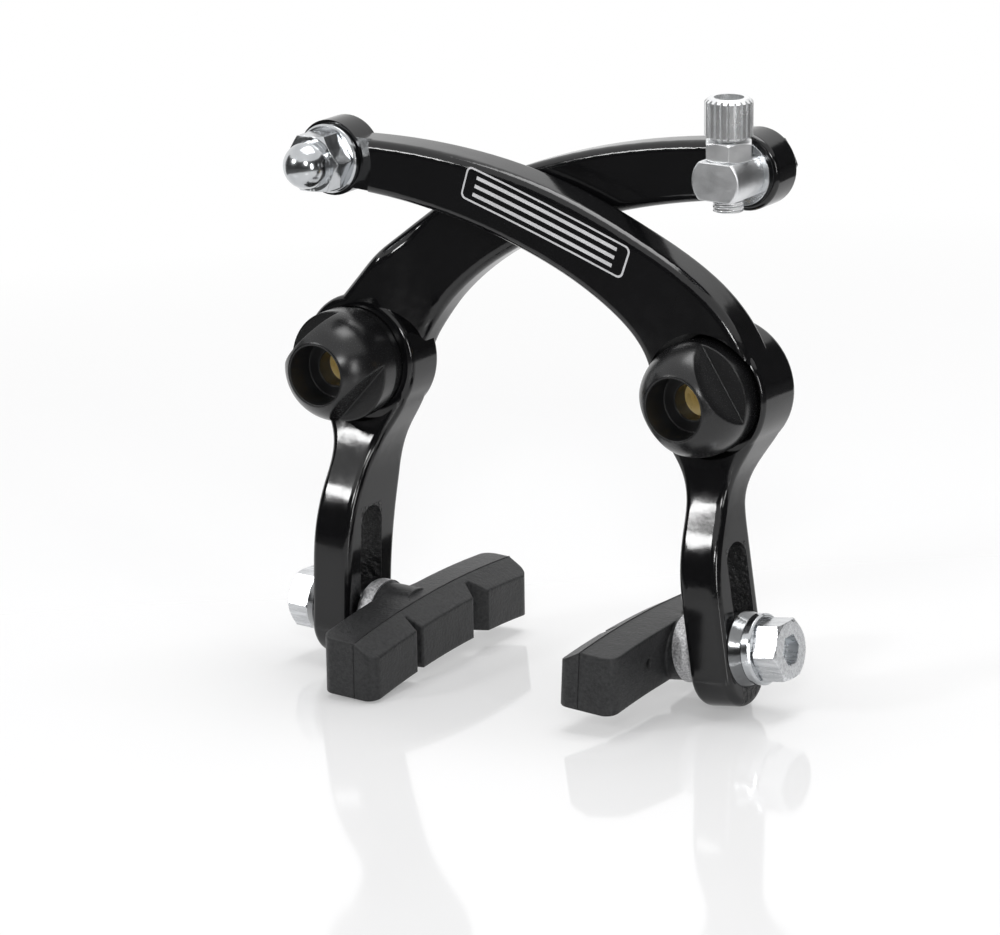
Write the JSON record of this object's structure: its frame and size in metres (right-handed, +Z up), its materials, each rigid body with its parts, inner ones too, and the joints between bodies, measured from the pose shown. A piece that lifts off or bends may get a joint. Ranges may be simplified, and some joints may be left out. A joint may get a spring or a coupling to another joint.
{
  "type": "rim brake",
  "caption": "Bicycle rim brake with two crossing forged arms on frame pivots, slotted legs with arched rubber pads, sprung caps, a wire anchor and a swivelling cable stop with barrel adjuster.",
  "frame": {"origin": "midway between the two pivot axes, on the plane where the bushes seat on the bicycle frame", "axes": "+Y points into the bicycle frame along the pivot axes, +X runs from the left pivot to the right one seen from the front, +Z up"},
  "size_m": [0.1045, 0.0519, 0.1081],
  "materials": {
    "arm": "gloss black paint",
    "cap": "satin black",
    "bush": "turned",
    "spring": "drawn wire",
    "zinc": "bright zinc",
    "washer": "blasted",
    "pad": "moulded"
  },
  "bodies": {
    "frame_side": {"left_pivot_bush": "bush", "right_pivot_bush": "bush"},
    "front_arm": {"front_arm": "arm", "anchor_bolt": "zinc", "anchor_washer": "zinc", "anchor_nut": "zinc"},
    "rear_arm": {"rear_arm": "arm", "stop_washer": "zinc"},
    "cable_stop": {"cable_stop": "zinc", "stop_nut": "zinc", "barrel_lock_nut": "zinc"},
    "barrel": {"barrel_adjuster": "zinc"},
    "left_cap": {"left_spring_cap": "cap", "left_return_spring": "spring"},
    "right_cap": {"right_spring_cap": "cap", "right_return_spring": "spring"},
    "left_pad_seat": {"left_dome_washer": "washer", "left_cone_washer": "zinc", "left_pad_nut": "zinc"},
    "left_pad": {"left_brake_pad": "pad", "left_pad_post": "zinc"},
    "right_pad_seat": {"right_dome_washer": "washer", "right_cone_washer": "zinc", "right_flat_washer": "zinc", "right_pad_nut": "zinc"},
    "right_pad": {"right_brake_pad": "pad", "right_pad_post": "zinc"}
  },
  "joints": [
    {"name": "front_arm_pivot", "type": "hinge", "parent": "frame_side", "child": "front_arm", "pos_m": [0.0375, 0, 0], "axis": [0, 1, 0], "range_deg": [-5, 12], "stiffness_Nm_per_rad": 1.2},
    {"name": "rear_arm_pivot", "type": "hinge", "parent": "frame_side", "child": "rear_arm", "pos_m": [-0.0375, 0, 0], "axis": [0, -1, 0], "range_deg": [-5, 12], "stiffness_Nm_per_rad": 1.2},
    {"name": "left_cap_turn", "type": "hinge", "parent": "frame_side", "child": "left_cap", "pos_m": [-0.0375, 0, 0], "axis": [0, 1, 0], "range_deg": [-90, 90]},
    {"name": "right_cap_turn", "type": "hinge", "parent": "frame_side", "child": "right_cap", "pos_m": [0.0375, 0, 0], "axis": [0, 1, 0], "range_deg": [-90, 90]},
    {"name": "left_pad_height", "type": "slide", "parent": "rear_arm", "child": "left_pad_seat", "axis": [0.0872, 0, 0.9962], "range_m": [-0.001, 0.012]},
    {"name": "left_pad_turn", "type": "hinge", "parent": "left_pad_seat", "child": "left_pad", "pos_m": [-0.04151, -0.0152, -0.04582], "axis": [0.9962, 0, -0.0872], "range_deg": [-8, 8]},
    {"name": "right_pad_height", "type": "slide", "parent": "front_arm", "child": "right_pad_seat", "axis": [-0.0872, 0, 0.9962], "range_m": [-0.002, 0.011]},
    {"name": "right_pad_turn", "type": "hinge", "parent": "right_pad_seat", "child": "right_pad", "pos_m": [0.04144, -0.0152, -0.04503], "axis": [0.9962, 0, 0.0872], "range_deg": [-8, 8]},
    {"name": "cable_stop_swivel", "type": "hinge", "parent": "rear_arm", "child": "cable_stop", "pos_m": [0.0424, 0, 0.0381], "axis": [0, 1, 0], "range_deg": [-15, 100]},
    {"name": "barrel_travel", "type": "slide", "parent": "cable_stop", "child": "barrel", "axis": [0.0593, 0, 0.9982], "range_m": [0, 0.006]}
  ]
}
